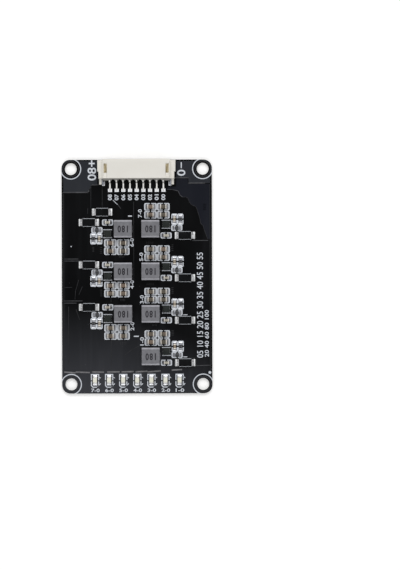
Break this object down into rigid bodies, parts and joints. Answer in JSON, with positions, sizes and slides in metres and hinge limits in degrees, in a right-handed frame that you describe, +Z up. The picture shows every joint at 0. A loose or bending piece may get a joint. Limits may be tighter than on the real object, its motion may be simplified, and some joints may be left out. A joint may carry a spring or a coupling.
{
  "type": "battery management board",
  "caption": "Flat circuit board with mounting holes, a keyed multi-way battery connector, a row of status lights and repeated balancing channels of inductors, chips and resettable fuses.",
  "frame": {"origin": "centre of the rectangle of four mounting holes, on the underside of the bare board", "axes": "+X across the board to the right, +Y along the board towards the battery connector, +Z up out of the component side"},
  "size_m": [0.045, 0.07, 0.0065],
  "materials": {
    "solder_mask": "satin black mask over copper on glass laminate",
    "print_ink": "matte white ink",
    "solder": "bright reflowed solder",
    "connector_plastic": "natural ivory nylon",
    "contact_metal": "tin plated, bright",
    "inductor_block": "matte pressed iron powder with a light coat",
    "package_epoxy": "fine matte moulding",
    "capacitor_ceramic": "brown fired ceramic with tinned ends",
    "capacitor_cream": "cream fired ceramic with tinned ends",
    "resistor_film": "dark glaze with tinned ends",
    "fuse_polymer": "black laminate with plated ends",
    "led_lens": "clear resin over a white base"
  },
  "bodies": {
    "root": {"pcb": "solder_mask", "silkscreen": "print_ink", "component_solder": "solder", "connector_solder": "solder", "connector_housing": "connector_plastic", "connector_contacts": "contact_metal", "connector_solder_tabs": "contact_metal", "inductor_1": "inductor_block", "inductor_2": "inductor_block", "inductor_3": "inductor_block", "inductor_4": "inductor_block", "inductor_5": "inductor_block", "inductor_6": "inductor_block", "inductor_7": "inductor_block", "balancer_ic_1": "package_epoxy", "balancer_ic_2": "package_epoxy", "balancer_ic_3": "package_epoxy", "balancer_ic_4": "package_epoxy", "balancer_ic_5": "package_epoxy", "balancer_ic_6": "package_epoxy", "balancer_ic_7": "package_epoxy", "filter_capacitors_1": "capacitor_ceramic", "filter_capacitors_2": "capacitor_ceramic", "filter_capacitors_3": "capacitor_ceramic", "filter_capacitors_4": "capacitor_ceramic", "filter_capacitors_5": "capacitor_ceramic", "filter_capacitors_6": "capacitor_ceramic", "filter_capacitors_7": "capacitor_ceramic", "small_capacitors_1": "capacitor_cream", "small_capacitors_2": "capacitor_cream", "small_capacitors_3": "capacitor_cream", "small_capacitors_4": "capacitor_cream", "small_capacitors_5": "capacitor_cream", "small_capacitors_6": "capacitor_cream", "small_capacitors_7": "capacitor_cream", "resistors_1": "resistor_film", "resistors_2": "resistor_film", "resistors_3": "resistor_film", "resistors_4": "resistor_film", "resistors_5": "resistor_film", "resistors_6": "resistor_film", "resistors_7": "resistor_film", "line_fuse_1": "fuse_polymer", "line_fuse_2": "fuse_polymer", "line_fuse_3": "fuse_polymer", "line_fuse_4": "fuse_polymer", "line_fuse_5": "fuse_polymer", "line_fuse_6": "fuse_polymer", "line_fuse_7": "fuse_polymer", "line_fuse_8": "fuse_polymer", "status_led_1": "led_lens", "status_led_2": "led_lens", "status_led_3": "led_lens", "status_led_4": "led_lens", "status_led_5": "led_lens", "status_led_6": "led_lens", "status_led_7": "led_lens"}
  },
  "joints": []
}
